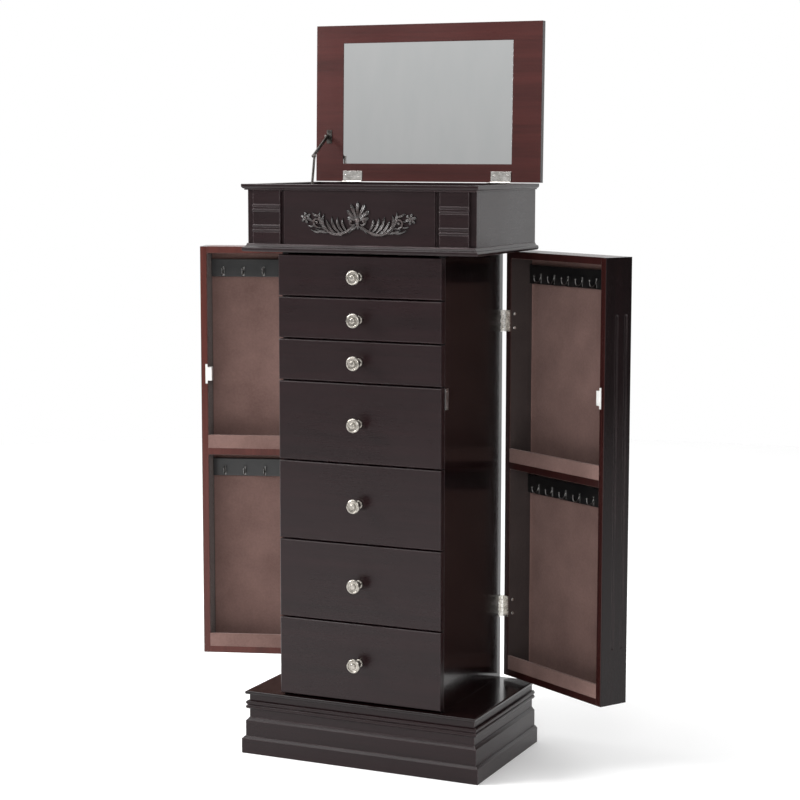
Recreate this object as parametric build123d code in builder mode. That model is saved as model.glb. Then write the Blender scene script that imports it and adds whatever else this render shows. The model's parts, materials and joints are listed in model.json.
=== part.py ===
"""Jewelry armoire: a stack of drawers between two swing-out necklace doors, under a mirrored lid box.

Millimetres. X runs to the right, the front faces -Y and the floor is Z = 0. The origin is the centre of
the plinth's footprint. The two doors and the lid are drawn open, and every drawer is drawn shut.
"""

import os
from math import cos, radians, sin

from build123d import *

os.makedirs("parts", exist_ok=True)

# Overall heights and the flat back that the base, carcass and top box share
BASE_TOP = 112
PLATE_UNDERSIDE = 106
PLATE_NOSE = 2.4
BOX_UNDERSIDE = 885
RIM_TOP = 1000
BACK = 141

# Half widths and front planes
PLINTH_HALF = 225
PLINTH_FRONT = -141
TOP_HALF = 219  # base plate, mouldings, rim and lid
TOP_FRONT = -139
BOX_HALF = 212
BOX_FRONT = -132
PANEL_STEP = 5  # how far the middle panel and the pilasters stand proud of the box front
PANEL_BACK = BOX_FRONT + PANEL_STEP
CARCASS_HALF = 152

# Boards
BOARD = 12
THIN_BOARD = 6
GLUE_GAP = 0.3

# Drawers, from the top down: three shallow and four deep
DRAWER_TOP = 882
SHALLOW = 72
DEEP = 138
DRAWER_PITCHES = [SHALLOW] * 3 + [DEEP] * 4
FRONT_FACE = -131
FRONT_THICK = 15
FRONT_GAP = 2.5
FRONT_BEVEL = 1.4
DRAWER_HALF = 138.5
DRAWER_WALL = 10
DRAWER_REAR = 128
DRAWER_LIFT = 12  # drawer box underside above the bottom of its pitch
DRAWER_HEADROOM = 10  # top of the drawer box below the top of its pitch
DRAWER_FLOOR = 4
DRAWER_GROOVE = 5  # floor board above the underside of the drawer box
RUNNER_HEIGHT = 8
RUNNER_GAP = 0.6
RUNNER_WIDTH = 14
FRONT_CLEARANCE = 0.5  # between a shut drawer front and the carcass behind it
STUD_RADIUS = 2.0
STUD_HOLE = 2.2

# Doors: a shallow tray on each side, hinged at the back
RIGHT = 1
LEFT = -1
DOOR_OPEN = {RIGHT: 59.0, LEFT: 71.5}
AXIS_X = 153.6
AXIS_Y = 145
DOOR_REAR = 5
DOOR_LENGTH = 276
DOOR_FACE = 1.1  # the open side of the tray, measured outward from the hinge line
DOOR_OUTER = BOX_HALF - AXIS_X
DOOR_BOTTOM = 117
DOOR_TOP = 881
STILE = 12.5
RAIL = 12
DIVIDER_LOW = 494
LINING = 2.2
LIP_HEIGHT = 24.5
LIP_THICK = 5
FLUTE_OFFSETS = (24.5, 44.5)
FLUTE_LENGTH = 572
FLUTE_WIDTH = 6
FLUTE_DEPTH = 1.6
HOOK_COUNT = 6
HOOK_FIRST = 50
HOOK_PITCH = 38
HOOK_REACH = 14
HOOK_BAR = 3
HOOK_RISE = 9
HOOK_RAIL_HEIGHT = 33
HOOK_RAIL_DROP = 13
HOOK_RAIL_THICK = 8
HOOK_LEVEL = 9  # hook arm above the underside of its rail
CATCH_HEIGHT = 645
CATCH_FLANGE = 18  # half height of the flange
CATCH_BODY = 12.5  # half height of the body
CATCH_LAP = 4  # how far the flange laps onto the stile
CATCH_WIDTH = 7.8
CATCH_DEPTH = 14
CATCH_PROUD = 0.1
STRIKE = (-114, -103)  # front and rear edge of each strike plate

# Butt hinges
DOOR_HINGE_HEIGHTS = (243, 758)
HINGE_LENGTH = 38
KNUCKLES = 5
KNUCKLE_GAP = 0.4
LEAF = 1.1
DOOR_KNUCKLE = 3.5
LID_KNUCKLE = 2.4
PIN_CLEARANCE = 0.05
PIN_SHARE = 0.42  # pin radius over knuckle radius
DOOR_LEAF_REACH = 14
LID_LEAF_REACH = 20
LID_HINGE_OFFSET = 145
SCREW_STEP = 12.3
SCREW_INSET = 10.4
SCREW_RADIUS = 2.9

# Lid
LID_OPEN = 91.2
LID_AXIS_Y = 143.5
LID_AXIS_Z = RIM_TOP
LID_FACE = 2.6  # the lid's inner face, measured from the hinge line
LID_THICK = 15
LID_BACK = 1.2
LID_LENGTH = 281
MIRROR_WIDTH = 329
MIRROR_HEIGHT = 216
MIRROR_THICK = 3
MIRROR_RECESS = 3.6

# Folding stay at the left of the lid: pivots on the lid, at the elbow and on the box wall
STAY_ON_LID = 81.5
STAY_STANDOFF = 5.8
STAY_ELBOW = (85.4, 1046.8)
STAY_ON_BOX = (71.8, 975.8)
STAY_WIDTH = 6
STAY_THICK = 2
STAY_UPPER_X = -195.2
STAY_LOWER_X = -192.8
STAY_PIN = 1.5
STAY_GAP = 0.4
STAY_BOSS = 4
BRACKET_EAR = 2.2
BRACKET_FOOT = 1.2

# Tray inside the top box
TRAY_WALL_HALF = BOX_HALF - BOARD
TRAY_FLOOR = BOX_UNDERSIDE + BOARD
TRAY_FRONT = PANEL_BACK + BOARD
TRAY_REAR = BACK - BOARD
DIVIDER = 4
DIVIDER_HEIGHT = 45
RING_EDGE = -70
MIDDLE_CROSS = 2  # front face of the cross divider in the middle part
CUSHION_HEIGHT = 32
CUSHION_GAP = 1


def save(piece, name):
    """Label a finished piece and write its file."""
    piece.label = name
    export_step(piece, f"parts/{name}.step")


def group(pieces):
    """Collect separate solids that make one named piece."""
    return Compound([solid for piece in pieces for solid in piece.solids()])


def block(plane, x, y, height):
    """A straight block that stands on a plane, between two limits each way."""
    with BuildPart() as body:
        with BuildSketch(plane):
            with Locations(((x[0] + x[1]) / 2, (y[0] + y[1]) / 2)):
                Rectangle(abs(x[1] - x[0]), abs(y[1] - y[0]))
        extrude(amount=height)
    return body.part


def board(x, y, z):
    """A plain board between two limits on each axis."""
    return block(Plane.XY.offset(z[0]), x, y, z[1] - z[0])


def mitred_surround(half, front, outline):
    """Three mitred strips that carry one outline round the front and both sides.

    The outline's x is measured outward from the half width, and its y is the height above the floor.
    """
    with BuildPart() as strips:
        with BuildLine():
            Polyline((half, BACK), (half, front), (-half, front), (-half, BACK))
        with BuildSketch(Plane((half, BACK, 0), x_dir=(1, 0, 0), z_dir=(0, -1, 0))):
            with BuildLine():
                outline()
            make_face()
        sweep(transition=Transition.RIGHT)
        for side in (RIGHT, LEFT):
            mitre = Plane((side * half, front, 0), x_dir=(0, 0, 1), z_dir=(side, 1, 0))
            split(bisect_by=mitre, keep=Keep.BOTH)
    return strips.part


# ---------------------------------------------------------------- base

FRAME_INSET = 10.8


def plinth_outline():
    """Plinth face with a chamfered top, then a second step that slopes back to the frieze."""
    points = [(-FRAME_INSET, 0), (0, 0), (0, 26), (-4, 30), (-5.5, 30), (-5.5, 58), (-8.5, 61)]
    Polyline(*points, (-FRAME_INSET, 64), (-FRAME_INSET, 0))


def bead_outline():
    """Two rounded beads, one above the other."""
    low, middle, high = 79, 86.5, 94
    Line((-FRAME_INSET, high), (-FRAME_INSET, low))
    Line((-FRAME_INSET, low), (-9, low))
    ThreePointArc((-9, low), (-5.6, (low + middle) / 2), (-9, middle))
    ThreePointArc((-9, middle), (-5.6, (middle + high) / 2), (-9, high))
    Line((-9, high), (-FRAME_INSET, high))


def make_base():
    """Frame boards, two mouldings and the top plate."""
    half = PLINTH_HALF - FRAME_INSET
    front = PLINTH_FRONT + FRAME_INSET
    height = (0, PLATE_UNDERSIDE)
    inner = half - BOARD
    frame = [
        board((-half, half), (front, front + BOARD), height),
        board((-half, half), (BACK - BOARD, BACK), height),
        board((-half, -inner), (front + BOARD, BACK - BOARD), height),
        board((inner, half), (front + BOARD, BACK - BOARD), height),
        board((-inner, inner), (front + BOARD, BACK - BOARD), (0, THIN_BOARD)),
    ]
    save(group(frame), "base_frame")
    lower = mitred_surround(PLINTH_HALF, PLINTH_FRONT, plinth_outline)
    upper = mitred_surround(PLINTH_HALF, PLINTH_FRONT, bead_outline)
    save(group([lower, upper]), "base_mouldings")

    with BuildPart() as plate:
        with BuildSketch(Plane.XY.offset(PLATE_UNDERSIDE)):
            with Locations((0, (TOP_FRONT + BACK) / 2)):
                Rectangle(2 * TOP_HALF, BACK - TOP_FRONT)
        extrude(amount=BASE_TOP - PLATE_UNDERSIDE)
        nose = plate.edges().filter_by(GeomType.LINE).filter_by(Axis.Z, reverse=True)
        fillet(nose.sort_by(Axis.Y)[:-2], radius=PLATE_NOSE)
    save(plate.part, "base_top_plate")


# ---------------------------------------------------------------- carcass


def make_carcass():
    """Two side panels, the back and the wooden runners."""
    height = (BASE_TOP, BOX_UNDERSIDE)
    front = FRONT_FACE + FRONT_THICK + FRONT_CLEARANCE
    inner = CARCASS_HALF - BOARD
    save(board((-CARCASS_HALF, -inner), (front, BACK), height), "side_panel_left")
    save(board((inner, CARCASS_HALF), (front, BACK), height), "side_panel_right")
    save(board((-inner, inner), (BACK - THIN_BOARD, BACK), height), "back_panel")

    runners = []
    for low, pitch in drawer_levels():
        top = low + DRAWER_LIFT - RUNNER_GAP
        for side in (RIGHT, LEFT):
            across = (side * inner, side * (inner - RUNNER_WIDTH))
            runners.append(board(across, (front + 5, BACK - THIN_BOARD - 5), (top - RUNNER_HEIGHT, top)))
    save(group(runners), "drawer_runners")


# ---------------------------------------------------------------- drawers


def drawer_levels():
    """The bottom and the pitch of each drawer, from the top down."""
    levels = []
    top = DRAWER_TOP
    for pitch in DRAWER_PITCHES:
        top -= pitch
        levels.append((top, pitch))
    return levels


def drawer_front(low, pitch):
    """An overlay front with a softened face and a hole for the knob."""
    middle = low + pitch / 2
    with BuildPart() as front:
        with BuildSketch(Plane((0, FRONT_FACE, middle), x_dir=(1, 0, 0), z_dir=(0, -1, 0))):
            Rectangle(2 * CARCASS_HALF, pitch - FRONT_GAP)
        extrude(amount=-FRONT_THICK)
        chamfer(front.faces().sort_by(Axis.Y)[0].edges(), length=FRONT_BEVEL)
        with Locations(Plane((0, FRONT_FACE, middle), x_dir=(1, 0, 0), z_dir=(0, -1, 0))):
            Hole(radius=STUD_HOLE)
    return front.part


def drawer_box(low, pitch):
    """Sides, inner front, back and floor of one drawer."""
    inner = DRAWER_HALF - DRAWER_WALL
    start = FRONT_FACE + FRONT_THICK
    height = (low + DRAWER_LIFT, low + pitch - DRAWER_HEADROOM)
    floor = low + DRAWER_LIFT + DRAWER_GROOVE
    within = (start + DRAWER_WALL, DRAWER_REAR - DRAWER_WALL)
    middle = low + pitch / 2
    with BuildPart() as inner_front:
        with BuildSketch(Plane((0, start, (height[0] + height[1]) / 2), x_dir=(1, 0, 0), z_dir=(0, -1, 0))):
            Rectangle(2 * inner, height[1] - height[0])
        extrude(amount=-DRAWER_WALL)
        with Locations(Plane((0, start, middle), x_dir=(1, 0, 0), z_dir=(0, -1, 0))):
            Hole(radius=STUD_HOLE)
    boards = [
        inner_front.part,
        board((-DRAWER_HALF, -inner), (start, DRAWER_REAR), height),
        board((inner, DRAWER_HALF), (start, DRAWER_REAR), height),
        board((-inner, inner), (DRAWER_REAR - DRAWER_WALL, DRAWER_REAR), height),
        board((-inner, inner), within, (floor, floor + DRAWER_FLOOR)),
    ]
    return group(boards)


def knob(middle):
    """A turned knob: base, waisted neck, ringed face with a button, and its stud and screw head."""
    inside = -(FRONT_THICK + DRAWER_WALL)
    with BuildPart() as body:
        with BuildSketch(Plane((0, FRONT_FACE, middle), x_dir=(0, -1, 0), z_dir=(1, 0, 0))):
            with BuildLine():
                Polyline((inside - 2.4, 0), (inside - 2.4, 4.5), (inside, 4.5), (inside, STUD_RADIUS))
                Polyline((inside, STUD_RADIUS), (0, STUD_RADIUS), (0, 7.4), (1.6, 7.4))
                ThreePointArc((1.6, 7.4), (2.7, 6.9), (3.2, 5.8))
                ThreePointArc((3.2, 5.8), (9.5, 4.5), (16.0, 8.0))
                ThreePointArc((16.0, 8.0), (18.4, 11.2), (21.0, 12.3))
                ThreePointArc((21.0, 12.3), (24.2, 12.0), (25.4, 10.4))
                ThreePointArc((25.4, 10.4), (25.2, 9.2), (24.0, 8.6))
                Line((24.0, 8.6), (23.8, 5.4))
                ThreePointArc((23.8, 5.4), (26.0, 4.7), (26.9, 2.8))
                Polyline((26.9, 2.8), (26.9, 0), (inside - 2.4, 0))
            make_face()
        revolve(axis=Axis((0, FRONT_FACE, middle), (0, -1, 0)))
    return body.part


def make_drawers():
    """All the drawers, numbered from the top."""
    for number, (low, pitch) in enumerate(drawer_levels(), start=1):
        save(drawer_front(low, pitch), f"drawer_{number}_front")
        save(drawer_box(low, pitch), f"drawer_{number}_box")
        save(knob(low + pitch / 2), f"drawer_{number}_knob")


# ---------------------------------------------------------------- top box


def moulding_outline():
    """Rounded lower nose and a cove that runs up to the box wall."""
    under = BOX_UNDERSIDE
    Polyline((-7, under), (-2.4, under))
    ThreePointArc((-2.4, under), (0, under + 4), (-2.4, under + 8))
    Line((-2.4, under + 8), (-3.4, under + 8))
    ThreePointArc((-3.4, under + 8), (-5.9, under + 10.6), (-7, under + 14))
    Line((-7, under + 14), (-7, under))


def rim_outline():
    """Flat top, short fascia, rounded underside and a small step to the wall."""
    Polyline((-19, RIM_TOP - 10), (-19, RIM_TOP), (0, RIM_TOP), (0, RIM_TOP - 3.5))
    ThreePointArc((0, RIM_TOP - 3.5), (-1.4, RIM_TOP - 6.6), (-4.2, RIM_TOP - 8))
    Polyline((-4.2, RIM_TOP - 8), (-4.2, RIM_TOP - 10), (-19, RIM_TOP - 10))


PANEL_HALF = 140.5
PILASTER = (147.5, 200.5)
BEAD_HEIGHTS = (920.7, 928.6, 955.4, 963.4)
WALL_TOP = RIM_TOP - 10


def pilaster(side):
    """One flat block with two pairs of raised beads across it."""
    low, high = PILASTER
    middle = side * (low + high) / 2
    with BuildPart() as body:
        with BuildSketch(Plane.XY.offset(TRAY_FLOOR + 2)):
            with Locations((middle, BOX_FRONT + PANEL_STEP / 2)):
                Rectangle(high - low, PANEL_STEP)
        extrude(amount=WALL_TOP - TRAY_FLOOR - 2)
        chamfer(body.faces().sort_by(Axis.Y)[0].edges().filter_by(Axis.Z), length=1)
        for height in BEAD_HEIGHTS:
            with BuildSketch(Plane((middle, BOX_FRONT + 0.3, height), x_dir=(0, 1, 0), z_dir=(1, 0, 0))):
                Circle(2.2)
            extrude(amount=(high - low) / 2 - 0.5, both=True)
    return body.part


def applique():
    """Low carved ornament: a fan, a drop and a leafy scroll to each side."""
    face = Plane((0, BOX_FRONT, 945), x_dir=(1, 0, 0), z_dir=(0, -1, 0))
    with BuildPart() as carving:
        with BuildSketch(face):
            for turn in range(-75, 76, 25):
                petal = 17 - abs(turn) / 15
                across = petal * sin(radians(turn))
                up = petal * cos(radians(turn))
                with Locations((across, up + 2)):
                    Ellipse(3.4, 13, rotation=-turn)
            Ellipse(8, 14)
            for step in range(9):
                along = 8 + 9 * step
                drop = -16 * sin(radians(18 * step)) + 1.6 * step - 2
                for side in (RIGHT, LEFT):
                    with Locations((side * along, drop)):
                        Ellipse(9, 3.4 + 0.4 * step, rotation=side * (16 * step - 50))
            for side in (RIGHT, LEFT):
                with Locations((side * 88, 10)):
                    Circle(7)
        extrude(amount=3.5)
    return carving.part


def make_box():
    """Floor, walls, front, mouldings and ornament of the top box."""
    side_front = PANEL_BACK + BOARD
    height = (TRAY_FLOOR, WALL_TOP)
    full = (-BOX_HALF, BOX_HALF)
    save(board(full, (BOX_FRONT, BACK), (BOX_UNDERSIDE, TRAY_FLOOR)), "box_floor")
    walls = [
        board((-BOX_HALF, -TRAY_WALL_HALF), (side_front, BACK), height),
        board((TRAY_WALL_HALF, BOX_HALF), (side_front, BACK), height),
        board((-TRAY_WALL_HALF, TRAY_WALL_HALF), (TRAY_REAR, BACK), height),
    ]
    save(group(walls), "box_walls")

    with BuildPart() as front:
        with BuildSketch(Plane.XY.offset(TRAY_FLOOR)):
            with Locations((0, (PANEL_BACK + side_front) / 2)):
                Rectangle(2 * BOX_HALF, BOARD)
            with Locations((0, BOX_FRONT + PANEL_STEP / 2)):
                Rectangle(2 * PANEL_HALF, PANEL_STEP)
        extrude(amount=WALL_TOP - TRAY_FLOOR)
        chamfer(front.faces().sort_by(Axis.Y)[0].edges().filter_by(Axis.Z), length=1)
    save(front.part, "box_front_panel")

    save(group([pilaster(RIGHT), pilaster(LEFT)]), "pilaster_blocks")
    save(applique(), "carved_applique")
    save(group([mitred_surround(TOP_HALF, TOP_FRONT, moulding_outline)]), "box_bottom_moulding")
    rim = mitred_surround(TOP_HALF, TOP_FRONT, rim_outline)
    back_strip = board((-TRAY_WALL_HALF, TRAY_WALL_HALF), (TRAY_REAR, BACK), (WALL_TOP, RIM_TOP))
    save(group([rim, back_strip]), "box_rim")


def make_tray():
    """Dividers and the ring cushion inside the top box."""
    height = (TRAY_FLOOR, TRAY_FLOOR + DIVIDER_HEIGHT)
    depth = (TRAY_FRONT, TRAY_REAR)
    first = RING_EDGE + DIVIDER
    second = -RING_EDGE - DIVIDER
    third = (TRAY_REAR - TRAY_FRONT) / 3
    dividers = [
        board((RING_EDGE, first), depth, height),
        board((second, -RING_EDGE), depth, height),
        board((first, second), (MIDDLE_CROSS, MIDDLE_CROSS + DIVIDER), height),
    ]
    for step in (1, 2):
        middle = TRAY_FRONT + third * step
        crossways = (middle - DIVIDER / 2, middle + DIVIDER / 2)
        dividers.append(board((-RING_EDGE, TRAY_WALL_HALF), crossways, height))
    save(group(dividers), "tray_dividers")
    across = (-TRAY_WALL_HALF + CUSHION_GAP, RING_EDGE - CUSHION_GAP)
    along = (TRAY_FRONT + CUSHION_GAP, TRAY_REAR - CUSHION_GAP)
    save(board(across, along, (TRAY_FLOOR, TRAY_FLOOR + CUSHION_HEIGHT)), "ring_cushion")


# ---------------------------------------------------------------- hinges


def hinge_leaf(plane, flip, plate, reach, radius, fixed):
    """One leaf of a butt hinge, drawn up from a plane that stands across the pin.

    The plate lies between two heights above the pin, and runs from beside the knuckles to its reach.
    The fixed leaf carries the pin and the odd knuckles, and the moving leaf turns on it.
    """
    pitch = (HINGE_LENGTH + KNUCKLE_GAP) / KNUCKLES
    clear = radius + 0.6
    low, high = plate
    with BuildPart() as leaf:
        with BuildSketch(plane):
            with Locations(((clear + reach) / 2, flip * (low + high) / 2)):
                Rectangle(reach - clear, high - low)
        extrude(amount=HINGE_LENGTH)
        for number in range(0 if fixed else 1, KNUCKLES, 2):
            with BuildSketch(plane.offset(number * pitch)):
                Circle(radius)
                with Locations(((clear + 1) / 2, flip * (low + high) / 2)):
                    Rectangle(clear + 1, high - low)
            extrude(amount=pitch - KNUCKLE_GAP)
        if fixed:
            with BuildSketch(plane):
                Circle(radius * PIN_SHARE)
            extrude(amount=HINGE_LENGTH)
        else:
            with BuildSketch(plane.offset(-1)):
                Circle(radius * PIN_SHARE + PIN_CLEARANCE)
            extrude(amount=HINGE_LENGTH + 2, mode=Mode.SUBTRACT)
    return leaf.part


def screw_head(plane):
    """A low domed screw head with a slot."""
    with BuildPart() as head:
        with BuildSketch(plane):
            Circle(SCREW_RADIUS)
        extrude(amount=1.3)
        fillet(head.faces().sort_by(Axis(plane.origin, plane.z_dir))[-1].edges(), radius=1.1)
        with BuildSketch(plane.offset(0.8)):
            Rectangle(7, 0.8, rotation=35)
        extrude(amount=1, mode=Mode.SUBTRACT)
    return head.part


def door_plane(side, level, turn):
    """A level plane on a door's hinge line, with x along the door and y across it."""
    along = (side * sin(radians(turn)), -cos(radians(turn)), 0)
    return Plane((side * AXIS_X, AXIS_Y, level), x_dir=along, z_dir=(0, 0, 1))


def lid_hinge_plane(start, turn):
    """A plane across the lid's hinge line, with x along the lid and y through its thickness."""
    along = (0, -cos(radians(turn)), sin(radians(turn)))
    return Plane((start, LID_AXIS_Y, LID_AXIS_Z), x_dir=along, z_dir=(-1, 0, 0))


def make_fixed_hinges():
    """The leaves that stay on the cabinet: two for each door and two for the lid."""
    leaves = []
    side_gap = CARCASS_HALF - AXIS_X
    plate = (side_gap, side_gap + LEAF)
    for side in (RIGHT, LEFT):
        for height in DOOR_HINGE_HEIGHTS:
            plane = door_plane(side, height - HINGE_LENGTH / 2, 0)
            leaves.append(hinge_leaf(plane, side, plate, DOOR_LEAF_REACH, DOOR_KNUCKLE, True))
        start = side * LID_HINGE_OFFSET + HINGE_LENGTH / 2
        plane = lid_hinge_plane(start, 0)
        leaves.append(hinge_leaf(plane, 1, (0, LEAF), LID_LEAF_REACH, LID_KNUCKLE, True))
    save(group(leaves), "cabinet_hinge_leaves")


# ---------------------------------------------------------------- doors


def door_block(side, along, across, height):
    """A straight piece of a door, in the door's own directions."""
    plane = door_plane(side, height[0], DOOR_OPEN[side])
    return block(plane, along, (side * across[0], side * across[1]), height[1] - height[0])


def front_stile(side):
    """The stile at the free edge, with two stopped flutes down its face."""
    turn = DOOR_OPEN[side]
    plane = door_plane(side, DOOR_BOTTOM, turn)
    forward = plane.x_dir
    middle = (DOOR_BOTTOM + DOOR_TOP) / 2
    with BuildPart() as stile:
        with BuildSketch(plane):
            with Locations((DOOR_LENGTH - STILE / 2, side * (DOOR_FACE + DOOR_OUTER) / 2)):
                Rectangle(STILE, DOOR_OUTER - DOOR_FACE)
        extrude(amount=DOOR_TOP - DOOR_BOTTOM)
        upright = stile.edges().filter_by(Axis.Z).group_by(Axis(plane.origin, forward))[-1]
        fillet(upright, radius=2)
        face = Plane(plane.origin + forward * DOOR_LENGTH, x_dir=(0, 0, 1), z_dir=forward)
        outward = side * plane.y_dir
        for offset in FLUTE_OFFSETS:
            centre = face.origin + outward * (DOOR_FACE + offset)
            with BuildSketch(Plane((centre.X, centre.Y, middle), x_dir=(0, 0, 1), z_dir=forward)):
                SlotOverall(FLUTE_LENGTH, FLUTE_WIDTH)
            extrude(amount=-FLUTE_DEPTH, taper=40, mode=Mode.SUBTRACT)
    return stile.part


def compartments():
    """The lowest and highest level inside the lower and the upper compartment."""
    lower = (DOOR_BOTTOM + RAIL, DIVIDER_LOW)
    upper = (DIVIDER_LOW + RAIL, DOOR_TOP - RAIL)
    return lower, upper


def hook(side, along, base, level):
    """One hook: a level arm and an upright tip."""
    half = HOOK_BAR / 2
    reach = base - HOOK_REACH
    arm = door_block(side, (along - half, along + half), (reach, base), (level - half, level + half))
    tip = door_block(
        side, (along - half, along + half), (reach - HOOK_BAR, reach), (level - half, level + HOOK_RISE)
    )
    return [arm, tip]


def make_door(side, word):
    """One door with its linings, pocket lips, hook rails, catch and hinge leaves."""
    inside = (DOOR_REAR + RAIL, DOOR_LENGTH - STILE)
    back = DOOR_OUTER - THIN_BOARD
    shell = door_block(side, (DOOR_REAR, inside[1]), (back, DOOR_OUTER), (DOOR_BOTTOM, DOOR_TOP))
    save(shell, f"door_{word}_outer_panel")
    save(front_stile(side), f"door_{word}_front_stile")

    depth = (DOOR_FACE, back)
    frame = [
        door_block(side, (DOOR_REAR, inside[0]), depth, (DOOR_BOTTOM, DOOR_TOP)),
        door_block(side, inside, depth, (DOOR_BOTTOM, DOOR_BOTTOM + RAIL)),
        door_block(side, inside, depth, (DIVIDER_LOW, DIVIDER_LOW + RAIL)),
        door_block(side, inside, depth, (DOOR_TOP - RAIL, DOOR_TOP)),
    ]
    save(group(frame), f"door_{word}_frame")

    pockets = []
    rails = []
    rail_back = back - LINING
    for low, high in compartments():
        pockets.append(door_block(side, inside, (rail_back, back), (low, high)))
        pockets.append(door_block(side, inside, (DOOR_FACE, DOOR_FACE + LIP_THICK), (low, low + LIP_HEIGHT)))
        rail_top = high - HOOK_RAIL_DROP
        rail_low = rail_top - HOOK_RAIL_HEIGHT
        rail_face = rail_back - HOOK_RAIL_THICK
        rails.append(door_block(side, inside, (rail_face, rail_back), (rail_low, rail_top)))
        for number in range(HOOK_COUNT):
            along = HOOK_FIRST + HOOK_PITCH * number
            rails.extend(hook(side, along, rail_face, rail_low + HOOK_LEVEL))
    save(group(pockets), f"door_{word}_lined_pockets")
    save(group(rails), f"door_{word}_hook_rails")

    flange = (CATCH_HEIGHT - CATCH_FLANGE, CATCH_HEIGHT + CATCH_FLANGE)
    body = (CATCH_HEIGHT - CATCH_BODY, CATCH_HEIGHT + CATCH_BODY)
    catch = [
        door_block(side, (inside[1], inside[1] + CATCH_LAP), (CATCH_PROUD, DOOR_FACE), flange),
        door_block(side, (inside[1] - CATCH_WIDTH, inside[1]), (CATCH_PROUD, CATCH_DEPTH), body),
    ]
    save(group(catch), f"door_{word}_catch")
    make_door_hinges(side, word, inside[0])


def make_door_hinges(side, word, inner_face):
    """The leaves on one door, with the screw heads that show on the inside of the hinge stile."""
    turn = DOOR_OPEN[side]
    leaves = []
    for height in DOOR_HINGE_HEIGHTS:
        plane = door_plane(side, height - HINGE_LENGTH / 2, turn)
        leaves.append(hinge_leaf(plane, side, (0, LEAF), inner_face, DOOR_KNUCKLE, False))
        for step in (-SCREW_STEP, SCREW_STEP):
            centre = plane.from_local_coords((inner_face, side * SCREW_INSET, HINGE_LENGTH / 2 + step))
            leaves.append(screw_head(Plane(centre, x_dir=(0, 0, 1), z_dir=plane.x_dir)))
    save(group(leaves), f"door_{word}_hinge_leaves")


def make_strikes():
    """Steel plates on the carcass sides that the door magnets pull on."""
    plates = []
    for side in (RIGHT, LEFT):
        across = (side * CARCASS_HALF, side * (CARCASS_HALF + 1))
        plates.append(board(across, STRIKE, (CATCH_HEIGHT - CATCH_FLANGE, CATCH_HEIGHT + CATCH_FLANGE)))
    save(group(plates), "catch_strikes")


# ---------------------------------------------------------------- lid and stay


def lid_point(along, through):
    """A point of the open lid, in the side view: along it from the hinge line, and through it."""
    turn = radians(LID_OPEN)
    y = LID_AXIS_Y - along * cos(turn) + through * sin(turn)
    z = LID_AXIS_Z + along * sin(turn) + through * cos(turn)
    return y, z


def lid_plane(through):
    """A plane in the open lid, facing inward, with y running up the lid."""
    y, z = lid_point(0, through)
    turn = radians(LID_OPEN)
    return Plane((0, y, z), x_dir=(1, 0, 0), z_dir=(0, -sin(turn), -cos(turn)))


def make_lid():
    """Lid board with its mirror, hinge leaves and stay bracket."""
    middle = (LID_BACK + LID_LENGTH) / 2
    with BuildPart() as frame:
        with BuildSketch(lid_plane(LID_FACE + LID_THICK)):
            with Locations((0, middle)):
                Rectangle(2 * TOP_HALF, LID_LENGTH - LID_BACK)
        extrude(amount=LID_THICK)
        outer = frame.faces().sort_by(Axis.Y)[-1].edges()
        fillet(outer, radius=3)
        with BuildSketch(lid_plane(LID_FACE)):
            with Locations((0, middle)):
                Rectangle(MIRROR_WIDTH + GLUE_GAP, MIRROR_HEIGHT + GLUE_GAP)
        extrude(amount=-MIRROR_RECESS, mode=Mode.SUBTRACT)
    save(frame.part, "lid_frame")
    across = (-MIRROR_WIDTH / 2, MIRROR_WIDTH / 2)
    height = (middle - MIRROR_HEIGHT / 2, middle + MIRROR_HEIGHT / 2)
    save(block(lid_plane(LID_FACE + MIRROR_RECESS), across, height, MIRROR_THICK), "lid_mirror")

    leaves = []
    plate = (LID_FACE - LEAF, LID_FACE)
    for side in (RIGHT, LEFT):
        start = side * LID_HINGE_OFFSET + HINGE_LENGTH / 2
        plane = lid_hinge_plane(start, LID_OPEN)
        leaves.append(hinge_leaf(plane, 1, plate, LID_LEAF_REACH, LID_KNUCKLE, False))
    save(group(leaves), "lid_hinge_leaves")


def stay_disc(x, centre, radius, length):
    """A round disc or pin along X from one end."""
    with BuildPart() as disc:
        with BuildSketch(Plane((x, *centre), x_dir=(0, 1, 0), z_dir=(1, 0, 0))):
            Circle(radius)
        extrude(amount=length)
    return disc.part


def make_stay_bracket():
    """The bracket on the lid: a foot, an ear and the pin that the upper link turns on."""
    centre = lid_point(STAY_ON_LID, LID_FACE - STAY_STANDOFF)
    inner = STAY_UPPER_X - STAY_GAP
    outer = inner - BRACKET_EAR
    reach = STAY_STANDOFF - BRACKET_FOOT / 2
    with BuildPart() as bracket:
        with BuildSketch(lid_plane(LID_FACE)):
            with Locations(((outer + inner + STAY_BOSS * 2) / 2, STAY_ON_LID)):
                Rectangle(BRACKET_EAR + STAY_BOSS * 2, 24)
        extrude(amount=BRACKET_FOOT)
        with BuildSketch(Plane((outer, *centre), x_dir=(0, 1, 0), z_dir=(1, 0, 0))):
            with Locations((reach / 2, 0)):
                Rectangle(reach, STAY_BOSS * 2)
        extrude(amount=BRACKET_EAR)
        add(stay_disc(outer, centre, STAY_BOSS, BRACKET_EAR))
        add(stay_disc(inner, centre, STAY_PIN, STAY_THICK + 2 * STAY_GAP))
    save(bracket.part, "lid_stay_bracket")


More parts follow.
